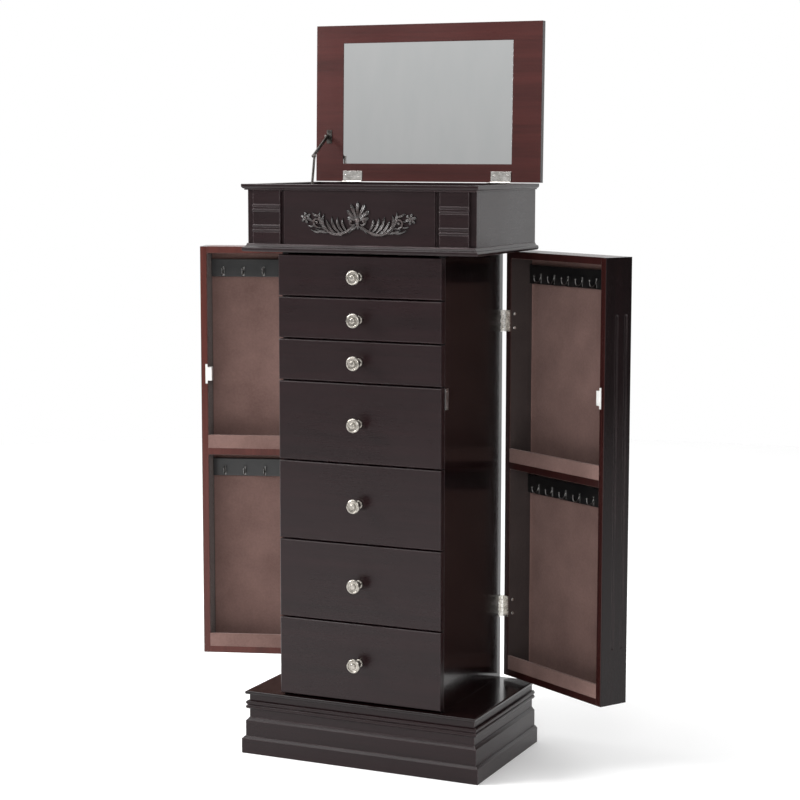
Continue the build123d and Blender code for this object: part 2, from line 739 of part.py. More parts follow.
def make_stay_anchor():
    """The plate and boss on the box wall, with the headed pin that the lower link turns on."""
    wall = -TRAY_WALL_HALF
    near = STAY_LOWER_X - STAY_GAP
    far = STAY_LOWER_X + STAY_THICK + STAY_GAP
    with BuildPart() as anchor:
        with BuildSketch(Plane((wall, *STAY_ON_BOX), x_dir=(0, 1, 0), z_dir=(1, 0, 0))):
            SlotOverall(30, 11)
        extrude(amount=1.5)
        add(stay_disc(wall, STAY_ON_BOX, STAY_BOSS, near - wall))
        add(stay_disc(wall, STAY_ON_BOX, STAY_PIN, far - wall))
        add(stay_disc(far, STAY_ON_BOX, STAY_PIN * 2, 1))
    save(anchor.part, "stay_anchor")


def stay_link(x, start, end, rivet_side):
    """A flat link between two points, with a hole at its start and a rivet head at its elbow end."""
    run = Vector(0, end[0] - start[0], end[1] - start[1])
    middle = ((start[0] + end[0]) / 2, (start[1] + end[1]) / 2)
    plane = Plane((x, *middle), x_dir=run, z_dir=(1, 0, 0))
    with BuildPart() as link:
        with BuildSketch(plane):
            SlotCenterToCenter(run.length, STAY_WIDTH)
            with Locations((-run.length / 2, 0)):
                Circle(STAY_PIN + PIN_CLEARANCE, mode=Mode.SUBTRACT)
        extrude(amount=STAY_THICK)
        head = plane.offset(STAY_THICK if rivet_side > 0 else 0)
        with BuildSketch(head):
            with Locations((run.length / 2, 0)):
                Circle(2.6)
        extrude(amount=rivet_side * 1.2)
    return link.part


def make_stay():
    """The two links of the folding stay."""
    on_lid = lid_point(STAY_ON_LID, LID_FACE - STAY_STANDOFF)
    save(stay_link(STAY_UPPER_X, on_lid, STAY_ELBOW, LEFT), "stay_upper_link")
    save(stay_link(STAY_LOWER_X, STAY_ON_BOX, STAY_ELBOW, RIGHT), "stay_lower_link")


make_base()
make_carcass()
make_drawers()
make_box()
make_tray()
make_fixed_hinges()
make_door(RIGHT, "right")
make_door(LEFT, "left")
make_strikes()
make_lid()
make_stay_bracket()
make_stay_anchor()
make_stay()
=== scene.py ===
"""Looks for the jewelry armoire: materials for its CAD pieces, its linings, its carving, and a studio.

Everything is in metres, in the CAD's frame: +X right, the front faces -Y, the floor is Z = 0.
"""

import json
import math

import bmesh
import bpy
from mathutils import Matrix, Vector, noise


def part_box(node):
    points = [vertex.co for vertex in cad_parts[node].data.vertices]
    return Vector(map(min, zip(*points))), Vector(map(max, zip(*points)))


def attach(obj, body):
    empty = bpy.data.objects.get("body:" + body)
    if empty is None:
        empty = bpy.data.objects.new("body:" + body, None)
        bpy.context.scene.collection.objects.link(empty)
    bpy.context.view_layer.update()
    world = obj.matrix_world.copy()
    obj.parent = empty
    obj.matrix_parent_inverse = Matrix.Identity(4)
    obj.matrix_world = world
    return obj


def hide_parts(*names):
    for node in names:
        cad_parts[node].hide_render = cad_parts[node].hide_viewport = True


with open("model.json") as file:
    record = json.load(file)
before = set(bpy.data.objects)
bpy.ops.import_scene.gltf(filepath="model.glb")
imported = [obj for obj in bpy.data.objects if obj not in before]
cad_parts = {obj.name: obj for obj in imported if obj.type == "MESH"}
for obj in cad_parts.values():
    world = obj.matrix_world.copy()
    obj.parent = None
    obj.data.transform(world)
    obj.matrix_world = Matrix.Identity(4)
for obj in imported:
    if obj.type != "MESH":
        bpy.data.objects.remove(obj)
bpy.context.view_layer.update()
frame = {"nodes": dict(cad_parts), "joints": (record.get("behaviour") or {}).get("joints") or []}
joints = {joint["name"]: joint for joint in frame["joints"]}
MM = 0.001
WORDS = ("right", "left")
CARVED_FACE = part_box("box_front_panel")[0].y  # the face that the carving stands on


# ---------------------------------------------------------------- material helpers


def new_material(name):
    """A material with one Principled shader."""
    material = bpy.data.materials.new(name)
    material.use_nodes = True
    return material, material.node_tree, material.node_tree.nodes["Principled BSDF"]


def node(tree, kind, inputs=None, **settings):
    """Add a shader node; an input is a value or another node's socket."""
    made = tree.nodes.new("ShaderNode" + kind)
    for key, value in settings.items():
        setattr(made, key, value)
    for key, value in (inputs or {}).items():
        if isinstance(value, bpy.types.NodeSocket):
            tree.links.new(value, made.inputs[key])
        else:
            made.inputs[key].default_value = value
    return made


def place(tree):
    """The point on the piece, in the CAD's frame."""
    return node(tree, "TexCoord").outputs["Object"]


def speckle(tree, scale, stretch=(1, 1, 1), detail=3, offset=(0, 0, 0)):
    """Noise from 0 to 1 that is drawn out where stretch is small."""
    at = node(tree, "Mapping", {"Vector": place(tree), "Scale": stretch, "Location": offset})
    inputs = {"Vector": at.outputs[0], "Scale": scale, "Detail": detail}
    return node(tree, "TexNoise", inputs).outputs["Fac"]


def remap(tree, value, low, high, start=0.3, end=0.7):
    """Stretch the middle of a value's range to run from low to high."""
    inputs = {"Value": value, "From Min": start, "From Max": end, "To Min": low, "To Max": high}
    return node(tree, "MapRange", inputs).outputs[0]


def blend_colours(tree, share, first, second):
    """Mix two colours, each a tuple or a socket."""
    mix = node(tree, "Mix", data_type="RGBA")
    for key, value in ((0, share), (6, first), (7, second)):
        if isinstance(value, bpy.types.NodeSocket):
            tree.links.new(value, mix.inputs[key])
        else:
            mix.inputs[key].default_value = value if key == 0 else (*value, 1)
    return mix.outputs[2]


def rounded_normal(tree, radius):
    """Normals that round off every edge a little."""
    return node(tree, "Bevel", {"Radius": radius}, samples=4).outputs[0]


def edges(tree, soft_normal):
    """From 0 on a flat face to 1 on an edge."""
    inputs = {0: soft_normal, 1: node(tree, "NewGeometry").outputs["Normal"]}
    agreement = node(tree, "VectorMath", inputs, operation="DOT_PRODUCT").outputs["Value"]
    return remap(tree, agreement, 1, 0, 0.75, 0.99)


def facing(tree, direction):
    """1 where the piece's own surface looks along a direction, and 0 elsewhere."""
    inputs = {0: node(tree, "TexCoord").outputs["Normal"], 1: direction}
    toward = node(tree, "VectorMath", inputs, operation="DOT_PRODUCT").outputs["Value"]
    return remap(tree, toward, 0, 1, 0.8, 0.92)


def bump(tree, height, distance, normal=None):
    """Raise the surface by a height of up to the distance."""
    inputs = {"Height": height, "Distance": distance, "Strength": 1}
    if normal is not None:
        inputs["Normal"] = normal
    return node(tree, "Bump", inputs).outputs[0]


def add_up(tree, *values):
    """The sum of several values."""
    total = values[0]
    for value in values[1:]:
        total = node(tree, "Math", {0: total, 1: value}, operation="ADD").outputs[0]
    return total


def multiply(tree, first, second):
    """The product of two values."""
    return node(tree, "Math", {0: first, 1: second}, operation="MULTIPLY").outputs[0]


def connect(tree, shader, colour, roughness, normal, fixed):
    """Link the inputs of a shader that vary over the surface, and set the ones that don't."""
    for key, socket in (("Base Color", colour), ("Roughness", roughness), ("Normal", normal)):
        tree.links.new(socket, shader.inputs[key])
    for key, value in fixed.items():
        shader.inputs[key].default_value = value


# ---------------------------------------------------------------- materials

GRAIN = {"x": (0.05, 1, 1), "y": (1, 0.05, 1), "z": (1, 1, 0.05)}
# the colour of the edges: a painted highlight for the light that rounded edges catch
EDGE_PAINTED_HIGHLIGHT = (0.2, 0.15, 0.155)


def wood(name, dark, light, axis, rough=0.3, coat=0.06, edge_highlight_colour=EDGE_PAINTED_HIGHLIGHT, pores=0.08 * MM, other=None):
    """Stained and lacquered wood with its grain along one axis, and a painted highlight that makes its
    edges a little lighter.

    other is a direction with the two tones of the stain on faces that look that way.
    """
    material, tree, shader = new_material(name)
    figure = speckle(tree, 38, GRAIN[axis], 5)
    streaks = speckle(tree, 240, GRAIN[axis], 4, (0.3, 0.1, 0.7))
    fine = speckle(tree, 1300, GRAIN[axis], 2)
    cloud = speckle(tree, 5)
    broad = add_up(tree, remap(tree, figure, 0, 0.55), remap(tree, streaks, 0, 0.3))
    tone = add_up(tree, broad, remap(tree, cloud, 0, 0.15))
    stained = blend_colours(tree, tone, dark, light)
    if other:
        direction, other_dark, other_light = other
        second = blend_colours(tree, tone, other_dark, other_light)
        stained = blend_colours(tree, facing(tree, direction), stained, second)
    soft = rounded_normal(tree, 1.4 * MM)
    # painted highlight along the edges, broken up by the grain streaks
    edge_highlight_share = multiply(tree, edges(tree, soft), remap(tree, streaks, 0.15, 0.7))
    colour = blend_colours(tree, edge_highlight_share, stained, edge_highlight_colour)
    gloss = remap(tree, cloud, rough - 0.04, rough + 0.05)
    roughness = add_up(tree, gloss, remap(tree, fine, -0.03, 0.04))
    grain = add_up(tree, remap(tree, fine, 0, 0.6), remap(tree, streaks, 0, 0.4))
    connect(tree, shader, colour, roughness, bump(tree, grain, pores, soft), {
        "IOR": 1.4,
        "Specular IOR Level": 0.36,
        "Coat Weight": coat,
        "Coat Roughness": 0.1,
        "Coat IOR": 1.4,
    })
    return material


def carving_with_painted_light(name, dark, light):
    """Lacquered carving, dark in its hollows as painted shade and lighter on its raised parts as a
    painted highlight.
    """
    material, tree, shader = new_material(name)
    depth = node(tree, "SeparateXYZ", {"Vector": place(tree)}).outputs["Y"]
    # painted shade in the hollows and painted highlight on the raised parts, by depth
    raised = remap(tree, depth, 1, 0, CARVED_FACE - 4.6 * MM, CARVED_FACE - 1.6 * MM)
    patches = speckle(tree, 160, detail=4)
    share = multiply(tree, raised, remap(tree, patches, 0.35, 1))
    colour = blend_colours(tree, share, dark, light)
    normal = bump(tree, speckle(tree, 900), 0.05 * MM)
    fixed = {"IOR": 1.5, "Coat Weight": 0.55, "Coat Roughness": 0.12}
    connect(tree, shader, colour, remap(tree, patches, 0.2, 0.32), normal, fixed)
    return material


def suede(name, dark, light):
    """Flocked lining: brushed patches that differ in tone, and a short nap."""
    material, tree, shader = new_material(name)
    brushed = speckle(tree, 16, detail=5)
    fibres = speckle(tree, 1500, detail=2)
    clumps = speckle(tree, 260, detail=4)
    broad = add_up(tree, remap(tree, brushed, 0, 0.5), remap(tree, clumps, 0, 0.3))
    colour = blend_colours(tree, add_up(tree, broad, remap(tree, fibres, 0, 0.2)), dark, light)
    height = add_up(tree, remap(tree, fibres, 0, 0.5), remap(tree, clumps, 0, 0.5))
    nap = bump(tree, height, 0.25 * MM, rounded_normal(tree, 0.9 * MM))
    connect(tree, shader, colour, remap(tree, clumps, 0.86, 0.98), nap, {
        "Sheen Weight": 0.35,
        "Sheen Roughness": 0.45,
        "Sheen Tint": (0.85, 0.72, 0.68, 1),
        "Specular IOR Level": 0.25,
    })
    return material


def metal(name, colour, stain, rough, axis):
    """Plated metal with fine brushing, cloudy tarnish and softened edges."""
    material, tree, shader = new_material(name)
    brushing = speckle(tree, 1800, GRAIN[axis], 3)
    cloud = speckle(tree, 120, detail=4)
    tarnished = blend_colours(tree, remap(tree, cloud, 0, 1), stain, colour)
    gloss = remap(tree, cloud, rough, rough + 0.08)
    roughness = add_up(tree, gloss, remap(tree, brushing, -0.04, 0.06))
    scratches = bump(tree, brushing, 0.04 * MM, rounded_normal(tree, 0.5 * MM))
    connect(tree, shader, tarnished, roughness, scratches, {"Metallic": 1})
    return material


def enamel(name, dark, light, rough):
    """Glossy paint over metal or wood, with slight orange peel."""
    material, tree, shader = new_material(name)
    cloud = speckle(tree, 40, detail=4)
    colour = blend_colours(tree, remap(tree, cloud, 0, 1), dark, light)
    peel = bump(tree, speckle(tree, 420, detail=2), 0.06 * MM, rounded_normal(tree, 0.7 * MM))
    fixed = {"Coat Weight": 0.2, "Coat Roughness": 0.15}
    connect(tree, shader, colour, remap(tree, cloud, rough, rough + 0.1), peel, fixed)
    return material


def moulded(name, dark, light, rough):
    """Matt moulded plastic with a fine spark-eroded texture."""
    material, tree, shader = new_material(name)
    texture = speckle(tree, 1900, detail=2)
    cloud = speckle(tree, 60)
    colour = blend_colours(tree, remap(tree, cloud, 0, 1), dark, light)
    roughness = remap(tree, texture, rough - 0.05, rough + 0.08)
    normal = bump(tree, texture, 0.04 * MM, rounded_normal(tree, 0.6 * MM))
    connect(tree, shader, colour, roughness, normal, {})
    return material


def silvered(name):
    """Flat mirror glass with the faintest wiping marks."""
    material, tree, shader = new_material(name)
    wipes = speckle(tree, 26, (1, 1, 0.3), 4)
    tint = blend_colours(tree, remap(tree, wipes, 0, 1), (0.86, 0.88, 0.88), (0.9, 0.91, 0.91))
    normal = rounded_normal(tree, 0.4 * MM)
    connect(tree, shader, tint, remap(tree, wipes, 0.004, 0.03), normal, {"Metallic": 1})
    return material


# the dark and the light tone of each stain; the carving's and the rims' tones also hold painted light
ESPRESSO = ((0.0068, 0.0026, 0.0032), (0.0145, 0.0052, 0.0062))
POLISHED = ((0.0035, 0.0016, 0.0018), (0.008, 0.0028, 0.0032))
MAHOGANY = ((0.034, 0.0085, 0.0075), (0.07, 0.0165, 0.0145))
STAINED = ((0.014, 0.0075, 0.006), (0.04, 0.02, 0.016))
# the carving's painted shade in its hollows and painted highlight on its raised parts
CARVING_PAINTED_SHADE_AND_HIGHLIGHT = ((0.004, 0.003, 0.003), (0.075, 0.05, 0.047))
# rim tones in two copies of one finish: lighter on the left door as painted light, darker on the right
# door as painted shade
RIM_TONES_LIT_AND_SHADED = {
    "left": ((0.055, 0.0135, 0.0105), (0.11, 0.028, 0.021)),
    "right": ((0.016, 0.0045, 0.004), (0.038, 0.01, 0.009)),
}
# a bright painted highlight on the beads of the pilaster blocks, for the top light they catch
BEAD_PAINTED_HIGHLIGHT = (0.5, 0.41, 0.42)
# painted edge highlights for the lid and for the door frames
LID_EDGE_PAINTED_HIGHLIGHT = (0.12, 0.05, 0.045)
RIM_EDGE_PAINTED_HIGHLIGHT = (0.12, 0.045, 0.035)
FORWARD = (0, -1, 0)

looks = {
    **{f"espresso_{axis}": wood(f"espresso_{axis}", *ESPRESSO, axis) for axis in GRAIN},
    **{f"polished_{axis}": wood(f"polished_{axis}", *POLISHED, axis, 0.16, 0.25) for axis in "xz"},
    "beads_painted_highlight": wood("espresso_painted_bead_highlight", *ESPRESSO, "x", edge_highlight_colour=BEAD_PAINTED_HIGHLIGHT),
    "lid": wood("lid_wood", *ESPRESSO, "x", 0.34, 0.1, LID_EDGE_PAINTED_HIGHLIGHT, other=(FORWARD, *MAHOGANY)),
    "stained_board": wood("stained_board", *STAINED, "x", 0.55, 0, pores=0.2 * MM),
    "carving": carving_with_painted_light("carved_espresso", *CARVING_PAINTED_SHADE_AND_HIGHLIGHT),
    "suede": suede("taupe_suede", (0.15, 0.086, 0.074), (0.26, 0.156, 0.137)),
    # a darker suede for the door compartment walls: painted shade
    "shaded": suede("suede_painted_shade", (0.026, 0.018, 0.017), (0.05, 0.036, 0.034)),
    "knob": metal("brushed_nickel", (0.47, 0.44, 0.4), (0.27, 0.25, 0.22), 0.24, "y"),
    "hinge": metal("bright_nickel", (0.86, 0.84, 0.81), (0.66, 0.64, 0.6), 0.2, "x"),
    "strike": metal("rolled_steel", (0.5, 0.5, 0.5), (0.36, 0.35, 0.34), 0.34, "z"),
    "stay": metal("dark_steel", (0.12, 0.11, 0.105), (0.05, 0.045, 0.04), 0.3, "z"),
    "hook": metal("smoked_chrome", (0.27, 0.265, 0.26), (0.12, 0.115, 0.11), 0.24, "z"),
    "rail": enamel("black_lacquer", (0.006, 0.006, 0.0065), (0.013, 0.012, 0.012), 0.3),
    "catch": moulded("white_plastic", (0.74, 0.73, 0.7), (0.86, 0.85, 0.83), 0.42),
    "mirror": silvered("mirror_glass"),
}


# ---------------------------------------------------------------- doors and CAD nodes


def door_matrix(word):
    """Maps (along the door, outward, up) to the row frame, from the hinge pin at floor level."""
    joint = joints[f"door_{word}_hinge"]
    turn = math.radians(-joint["range_deg"][0])
    side = 1 if word == "right" else -1
    along = Vector((side * math.sin(turn), -math.cos(turn), 0))
    outward = Vector((side * math.cos(turn), math.sin(turn), 0))
    pin = Vector(joint["pos_m"])
    rows = [(along[i], outward[i], 1 if i == 2 else 0, pin[i] if i < 2 else 0) for i in range(3)]
    return Matrix((*rows, (0, 0, 0, 1)))


DOORS = {word: door_matrix(word) for word in WORDS}


def dress(look, *names):
    """Give CAD nodes a material."""
    for name in names:
        for slot in frame["nodes"][name].material_slots:
            slot.material = looks[look]


dress("espresso_x", "base_frame", "base_mouldings", "box_floor", "box_front_panel")
dress("espresso_x", "box_bottom_moulding", "box_rim")
dress("beads_painted_highlight", "pilaster_blocks")
dress("polished_x", "base_top_plate")
dress("polished_z", "side_panel_left", "side_panel_right")
dress("espresso_y", "box_walls")
dress("stained_board", "back_panel", "drawer_runners")
dress("lid", "lid_frame")
dress("suede", "tray_dividers")
dress("hinge", "cabinet_hinge_leaves", "lid_hinge_leaves")
dress("strike", "catch_strikes")
dress("stay", "stay_anchor", "lid_stay_bracket", "stay_upper_link", "stay_lower_link")
dress("mirror", "lid_mirror")
for number in range(1, 8):
    dress("espresso_x", f"drawer_{number}_front")
    dress("stained_board", f"drawer_{number}_box")
    dress("knob", f"drawer_{number}_knob")
for word in WORDS:
    along, outward = (DOORS[word].col[k].xyz for k in range(2))
    # the inner faces take the rim tones, which carry painted light: lighter on the left door and darker
    # on the right
    inner_painted_light_tones = (tuple(-outward), *RIM_TONES_LIT_AND_SHADED[word])
    rear_tones = (tuple(-along), *ESPRESSO)
    looks[f"painted_light_stile_{word}"] = wood(f"painted_light_stile_{word}", *POLISHED, "z", 0.24, other=inner_painted_light_tones)
    looks[f"painted_light_rail_{word}"] = wood(
        f"painted_light_rail_{word}", *RIM_TONES_LIT_AND_SHADED[word], "z", 0.36, 0.1, RIM_EDGE_PAINTED_HIGHLIGHT, other=rear_tones
    )
    dress("espresso_z", f"door_{word}_outer_panel")
    dress(f"painted_light_stile_{word}", f"door_{word}_front_stile")
    dress(f"painted_light_rail_{word}", f"door_{word}_frame")
    dress("suede", f"door_{word}_lined_pockets")
    dress("catch", f"door_{word}_catch")
    dress("hinge", f"door_{word}_hinge_leaves")


# ---------------------------------------------------------------- mesh helpers


def finish_mesh(bm, name, look, body, smooth=True, matrix=None):
    """Turn a bmesh into a piece that rides on a body."""
    bmesh.ops.recalc_face_normals(bm, faces=bm.faces)
    mesh = bpy.data.meshes.new(name)
    bm.to_mesh(mesh)
    bm.free()
    if matrix is not None:
        mesh.transform(matrix)
        if matrix.determinant() < 0:
            mesh.flip_normals()
    for face in mesh.polygons:
        face.use_smooth = smooth
    mesh.materials.append(looks[look])
    piece = bpy.data.objects.new(name, mesh)
    bpy.context.scene.collection.objects.link(piece)
    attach(piece, body)
    return piece


def merge(bm, part):
    """Add one mesh that is being made to another."""
    mesh = bpy.data.meshes.new("part")
    part.to_mesh(mesh)
    part.free()
    bm.from_mesh(mesh)
    bpy.data.meshes.remove(mesh)


def subdivide(piece):
    """Smooth a piece by one level of subdivision."""
    modifier = piece.modifiers.new("smooth", "SUBSURF")
    modifier.levels = 1
    modifier.render_levels = 1


def pointing(direction):
    """A turn that takes the z axis to a direction."""
    return Vector((0, 0, 1)).rotation_difference(direction).to_matrix().to_4x4()


def circle(steps):
    """The cosine and sine of equal steps round a circle."""
    angles = [math.tau * step / steps for step in range(steps)]
    return [(math.cos(angle), math.sin(angle)) for angle in angles]


def bridge(bm, rings, closed=True):
    """Join rings of vertices, each the same length, with quads."""
    for first, second in zip(rings, rings[1:]):
        count = len(first)
        for i in range(count if closed else count - 1):
            j = (i + 1) % count
            bm.faces.new((first[i], first[j], second[j], second[i]))


def lathe(bm, profile, matrix, steps):
    """Turn a profile of (radius, height) about a matrix's z axis, with a cap on its last ring."""
    rings = []
    for radius, height in profile:
        spots = [matrix @ Vector((radius * x, radius * y, height)) for x, y in circle(steps)]
        rings.append([bm.verts.new(spot) for spot in spots])
    bridge(bm, rings)
    bm.faces.new(rings[-1])


def tube(bm, points, radius, steps=10):
    """A round bar along a line of points, with closed ends."""
    last = len(points) - 1
    up = Vector((0, 0, 1))
    rings = []
    for i, point in enumerate(points):
        ahead = (points[min(i + 1, last)] - points[max(i - 1, 0)]).normalized()
        across = ahead.cross(up)
        if across.length < 0.1:
            across = ahead.cross(Vector((1, 0, 0)))
        across.normalize()
        up = across.cross(ahead)
        spots = [point + radius * (across * x + up * y) for x, y in circle(steps)]
        rings.append([bm.verts.new(spot) for spot in spots])
    bridge(bm, rings)
    bm.faces.new(rings[0])
    bm.faces.new(rings[-1])


def curve_points(controls, count):
    """Points along a smooth line that passes near its control points and through both ends."""
    spline = []
    padded = [controls[0], *controls, controls[-1]]
    spans = len(controls) - 1
    for i in range(count):
        t = i / (count - 1) * spans
        k = min(int(t), spans - 1)
        s = t - k
        a, b, c, d = (Vector(padded[min(k + n, len(padded) - 1)]) for n in range(4))
        point = b + 0.5 * s * ((c - a) + s * ((2 * a - 5 * b + 4 * c - d) + s * (3 * (b - c) + d - a)))
        spline.append(point)
    return spline


def soft_box(bm, low, high, bevel, segments=2):
    """A board with rounded edges, inside the mesh being made."""
    ends = [(low[axis], high[axis]) for axis in range(3)]
    corners = [(x, y, z) for z in ends[2] for y in ends[1] for x in ends[0]]
    verts = [bm.verts.new(corner) for corner in corners]
    sides = [(0, 2, 3, 1), (4, 5, 7, 6), (0, 1, 5, 4), (2, 6, 7, 3), (0, 4, 6, 2), (1, 3, 7, 5)]
    faces = [bm.faces.new([verts[i] for i in side]) for side in sides]
    lines = list({edge for face in faces for edge in face.edges})
    bmesh.ops.bevel(bm, geom=lines, offset=bevel, segments=segments, affect="EDGES", profile=0.6)


# a domed screw head as shares of its radius: how far out, and how high
SCREW_PROFILE = [(1.0, -0.05), (1.0, 0.12), (0.93, 0.26), (0.78, 0.38)]
SCREW_PROFILE += [(0.58, 0.46), (0.4, 0.5), (0.24, 0.52), (0.1, 0.53)]
SLOT_DEPTH = 0.34
SLOT_SIDE = 0.72  # a larger value makes the arms of the cross narrower


def screw(bm, matrix, radius, dome=1.0):
    """A screw head with a cross recess, on a matrix's origin and facing its z axis.

    A low dome makes a flush head.
    """
    steps = 32
    rings = []
    for share, height in SCREW_PROFILE:
        ring = []
        for step in range(steps):
            angle = math.tau * step / steps
            arm = max(0.0, math.cos(2 * angle) ** 2 - SLOT_SIDE) / (1 - SLOT_SIDE)
            sunk = SLOT_DEPTH * arm if share < 0.6 else 0.0
            if share < 0.2:
                sunk = SLOT_DEPTH
            level = dome * (height - sunk)
            spot = Vector((share * math.cos(angle), share * math.sin(angle), level)) * radius
            ring.append(bm.verts.new(matrix @ spot))
        rings.append(ring)
    bridge(bm, rings)
    bm.faces.new(rings[-1])


# ---------------------------------------------------------------- linings

# inside a door: heights of its two compartments, their reach from the pin, and the depth of their back
COMPARTMENTS = ((129 * MM, 494 * MM), (506 * MM, 869 * MM))
INSIDE = (17 * MM, 263.5 * MM)
LINED_BACK = 50.2 * MM

# inside the top box: the front and rear of its compartments, their height, and their sides
TRAY_ENDS = (-115 * MM, 129 * MM)
TRAY_HEIGHT = 44 * MM
CROSS_DIVIDER = (2 * MM, 6 * MM)  # between the two middle compartments
MIDDLE = (-66 * MM, 66 * MM)
LEFT_SIDE = (-200 * MM, -70 * MM)
RIGHT_SIDE = (70 * MM, 200 * MM)

# inside a drawer box: its walls, the top of its floor board, and its walls' height above the lining
DRAWER_WALL = 10 * MM
DRAWER_FLOOR = 9 * MM
DRAWER_RIM = 3 * MM

LIFT = 0.05 * MM  # a lining's clearance above the board it lies on


def rounded_rectangle(half_x, half_y, radius, corner=4, side=6):
    """Points round a rectangle with rounded corners."""
    radius = max(min(radius, half_x * 0.98, half_y * 0.98), 0.05 * MM)
    signs = ((1, 1), (-1, 1), (-1, -1), (1, -1))
    centres = [Vector((sx * (half_x - radius), sy * (half_y - radius))) for sx, sy in signs]
    points = []
    for k, centre in enumerate(centres):
        for i in range(corner + 1):
            angle = math.pi / 2 * (k + i / corner)
            points.append(centre + radius * Vector((math.cos(angle), math.sin(angle))))
        turn = math.pi / 2 * (k + 1)
        start = centres[(k + 1) % 4] + radius * Vector((math.cos(turn), math.sin(turn)))
        last = points[-1]
        points += [last.lerp(start, i / side) for i in range(1, side)]
    return points


def lining(bm, size, height, thick, crown, seed):
    """An open tray of padded fabric: rolled top edge, walls, soft corner and slightly crowned floor.

    It fills a rectangle centred on the origin, stands on z = 0, and opens upward.
    """
    half_x, half_y = size[0] / 2, size[1] / 2
    steps = [(0.02, height - 1.2 * thick), (0.02, height - 0.3 * thick), (0.3, height), (0.75, height)]
    steps += [(1.0, height - 0.5 * thick), (1.05, height - 1.5 * thick)]
    steps += [(1.0, height * k / 4 + thick * (1 - k / 4)) for k in (3, 2, 1)]
    steps += [(1.15, 2.6 * thick), (1.8, 1.5 * thick), (3.2, 1.05 * thick)]
    rings = []
    for share, level in steps:
        inset = share * thick
        rings.append((half_x - inset, half_y - inset, level))
    reach = min(half_x, half_y)
    for k in (0.12, 0.25, 0.4, 0.55, 0.7, 0.85, 0.97):
        inset = 3.2 * thick + (reach - 3.2 * thick) * k
        rings.append((half_x - inset, half_y - inset, thick * 1.05 + crown * math.sin(math.pi / 2 * k)))
    made = []
    for width, depth, level in rings:
        ring = []
        for point in rounded_rectangle(width, depth, 2.2 * MM):
            wave = noise.noise(Vector((point.x * 22, point.y * 22, level * 30 + seed)))
            lift = 0.25 * MM * wave if level < 0.9 * height else 0.0
            ring.append(bm.verts.new((point.x, point.y, level + lift)))
        made.append(ring)
    bridge(bm, made)
    bm.faces.new(made[-1])


def drawer_linings():
    """A suede tray inside each drawer."""
    for number in range(1, 8):
        low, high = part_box(f"drawer_{number}_box")
        floor = low.z + DRAWER_FLOOR
        size = (high.x - low.x - 2 * DRAWER_WALL, high.y - low.y - 2 * DRAWER_WALL)
        bm = bmesh.new()
        lining(bm, size, high.z - floor - DRAWER_RIM, 1.1 * MM, 1.0 * MM, number)
        spot = Matrix.Translation(((low.x + high.x) / 2, (low.y + high.y) / 2, floor + LIFT))
        name = f"drawer_{number}_lining"
        finish_mesh(bm, name, "suede", f"drawer_{number}", matrix=spot)


def tray_linings():
    """A suede lining in every compartment of the top tray."""
    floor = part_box("box_walls")[0].z
    start, end = TRAY_ENDS
    third = (end - start) / 3
    gap = 2 * MM  # half of a divider
    front, rear = CROSS_DIVIDER
    spaces = [(*MIDDLE, start, front), (*MIDDLE, rear, end), (*LEFT_SIDE, start, end)]
    for k in range(3):
        front = start + third * k + (gap if k else 0)
        rear = start + third * (k + 1) - (gap if k < 2 else 0)
        spaces.append((*RIGHT_SIDE, front, rear))
    bm = bmesh.new()
    for seed, (x0, x1, y0, y1) in enumerate(spaces):
        part = bmesh.new()
        lining(part, (x1 - x0, y1 - y0), TRAY_HEIGHT, 0.8 * MM, 0.9 * MM, 20 + seed)
        middle = ((x0 + x1) / 2, (y0 + y1) / 2, floor + LIFT)
        bmesh.ops.translate(part, verts=part.verts, vec=middle)
        merge(bm, part)
    finish_mesh(bm, "tray_lining", "suede", "cabinet")


def door_linings():
    """Suede on the walls and back of each door compartment: the walls are in a darker tone, painted
    shade for the shade in the compartments' corners.
    """
    along = (INSIDE[0] + INSIDE[1]) / 2
    for word in WORDS:
        outward = DOORS[word].col[1].xyz
        for level, (low, high) in zip(("lower", "upper"), COMPARTMENTS):
            bm = bmesh.new()
            size = (INSIDE[1] - INSIDE[0], high - low)
            lining(bm, size, LINED_BACK - 2.4 * MM, 0.7 * MM, 0.5 * MM, 40 + low * 100)
            # the lining opens towards the inner face of the door
            upright = ((1, 0, 0, along), (0, 0, -1, LINED_BACK), (0, 1, 0, (low + high) / 2))
            stand = DOORS[word] @ Matrix((*upright, (0, 0, 0, 1)))
            name = f"door_{word}_{level}_lining"
            piece = finish_mesh(bm, name, "suede", f"door_{word}", matrix=stand)
            piece.data.materials.append(looks["shaded"])
            for face in piece.data.polygons:
                # the walls get the darker suede as painted shade
                face.material_index = 1 if abs(face.normal.dot(outward)) < 0.5 else 0


# ---------------------------------------------------------------- hook rails

HOOKS = [(50 + 38 * k) * MM for k in range(6)]
RAIL_TOPS = (481 * MM, 856 * MM)
RAIL_HEIGHT = 33 * MM
RAIL_FACE = 42.2 * MM
HOOK_DROP = 24 * MM  # a hook's middle, below the top of its rail
SCREW_DROP = 16.2 * MM
# a hook's wire, in mm: how far out from the rail, and how high
HOOK_WIRE = [(0.6, 5), (2.0, 1), (4.5, -2.6), (8.5, -4.4), (12.6, -3.2), (14.8, 0.6), (15.2, 5)]
HOOK_REACH = HOOK_WIRE[-1][0] * MM


